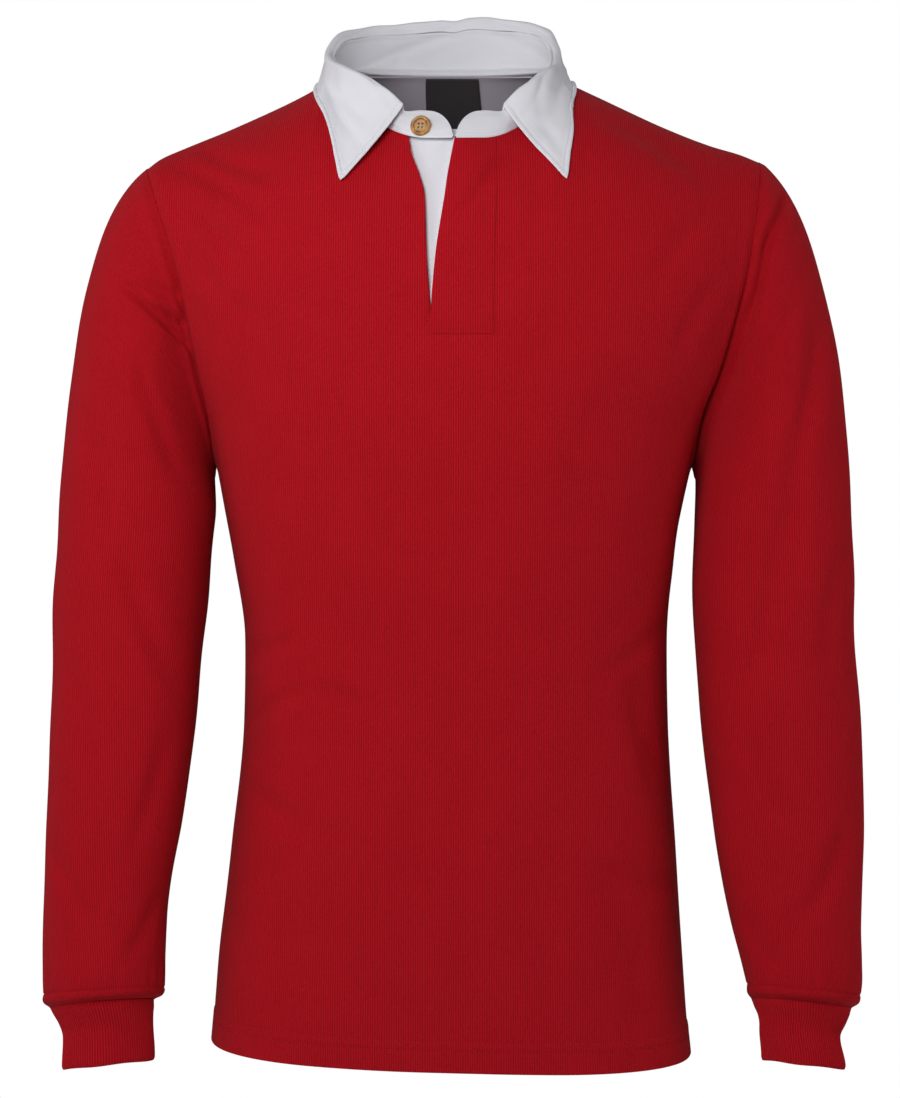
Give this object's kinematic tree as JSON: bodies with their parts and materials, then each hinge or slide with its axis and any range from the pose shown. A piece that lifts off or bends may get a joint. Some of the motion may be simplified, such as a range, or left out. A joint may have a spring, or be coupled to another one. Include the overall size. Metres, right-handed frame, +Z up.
{
  "type": "long-sleeved rugby shirt, filled out as worn",
  "caption": "Long-sleeved ribbed rugby shirt with a white twill collar, a half-open placket and ribbed cuffs, filled out in the round with no wearer; hollow body, sleeves, neck, hem and cuffs.",
  "frame": {"origin": "middle of the neck base, level with the shoulder neck points, where the wearer's neck and shoulders hold the shirt up", "axes": "+Z up from the hem to the collar, -Y out of the front, +X towards the wearer's left sleeve"},
  "size_m": [0.6028, 0.2518, 0.7668],
  "materials": {
    "body_knit": "red fine-rib cotton knit, matt",
    "cuff_rib": "red ribbed cotton knit, matt",
    "collar_twill": "white cotton twill, matt",
    "label_weave": "black woven tape, plain",
    "button_resin": "amber horn-look resin"
  },
  "bodies": {
    "root": {"front": "body_knit", "back": "body_knit", "sleeve_right": "body_knit", "sleeve_left": "body_knit", "placket_fly": "body_knit", "cuff_right": "cuff_rib", "cuff_left": "cuff_rib", "collar_stand": "collar_twill", "collar_leaf": "collar_twill", "placket_underlap": "collar_twill", "fly_facing": "collar_twill", "neck_facing": "collar_twill", "neck_label": "label_weave", "collar_button": "button_resin"}
  },
  "joints": []
}
